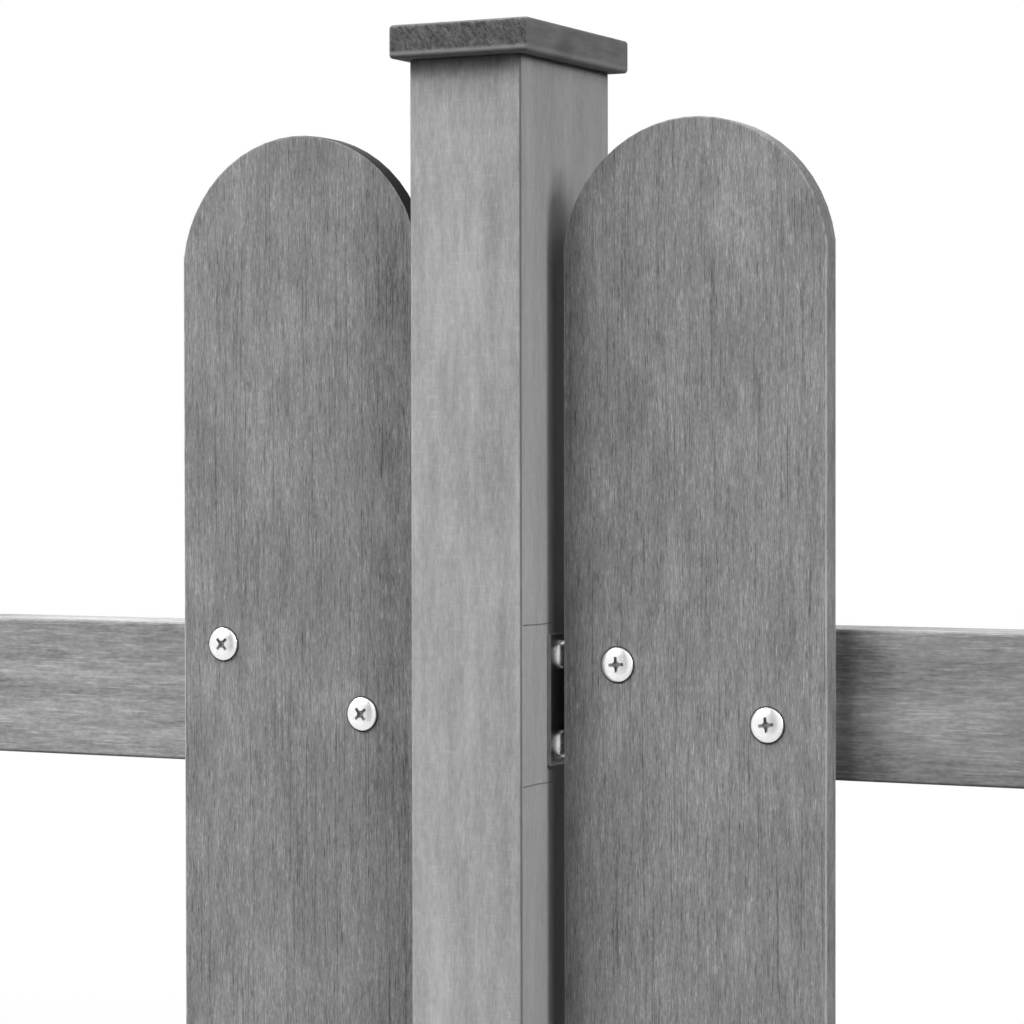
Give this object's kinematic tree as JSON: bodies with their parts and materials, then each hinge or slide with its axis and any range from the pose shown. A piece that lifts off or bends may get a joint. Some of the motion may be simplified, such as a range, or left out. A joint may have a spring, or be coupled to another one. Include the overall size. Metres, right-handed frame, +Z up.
{
  "type": "picket fence panel run",
  "caption": "Run of picket fence in bays: flat round-topped pickets screwed to an upper and a lower rail, hung on steel angle brackets between slim capped posts.",
  "frame": {"origin": "middle of the middle post's foot, on the ground", "axes": "+X along the fence to the right seen from the pickets' side, +Y to the fence's back, +Z up"},
  "size_m": [3.45, 0.075, 0.832],
  "materials": {
    "post_board": "brushed wood-plastic composite, grey",
    "cap_board": "sawn wood-plastic composite, dark grey",
    "picket_board": "brushed wood-plastic composite, grey",
    "rail_board": "brushed wood-plastic composite, grey",
    "steel": "zinc-plated steel, dull"
  },
  "bodies": {
    "root": {"left_cap": "cap_board", "left_lower_bracket_1": "steel", "left_lower_bracket_2": "steel", "left_lower_rail": "rail_board", "left_picket_01": "picket_board", "left_picket_02": "picket_board", "left_picket_03": "picket_board", "left_picket_04": "picket_board", "left_picket_05": "picket_board", "left_picket_06": "picket_board", "left_picket_07": "picket_board", "left_picket_08": "picket_board", "left_picket_09": "picket_board", "left_post": "post_board", "left_upper_bracket_1": "steel", "left_upper_bracket_2": "steel", "left_upper_rail": "rail_board", "middle_cap": "cap_board", "middle_post": "post_board", "right_cap": "cap_board", "right_lower_bracket_1": "steel", "right_lower_bracket_2": "steel", "right_lower_rail": "rail_board", "right_picket_01": "picket_board", "right_picket_02": "picket_board", "right_picket_03": "picket_board", "right_picket_04": "picket_board", "right_picket_05": "picket_board", "right_picket_06": "picket_board", "right_picket_07": "picket_board", "right_picket_08": "picket_board", "right_picket_09": "picket_board", "right_post": "post_board", "right_upper_bracket_1": "steel", "right_upper_bracket_2": "steel", "right_upper_rail": "rail_board"}
  },
  "joints": []
}
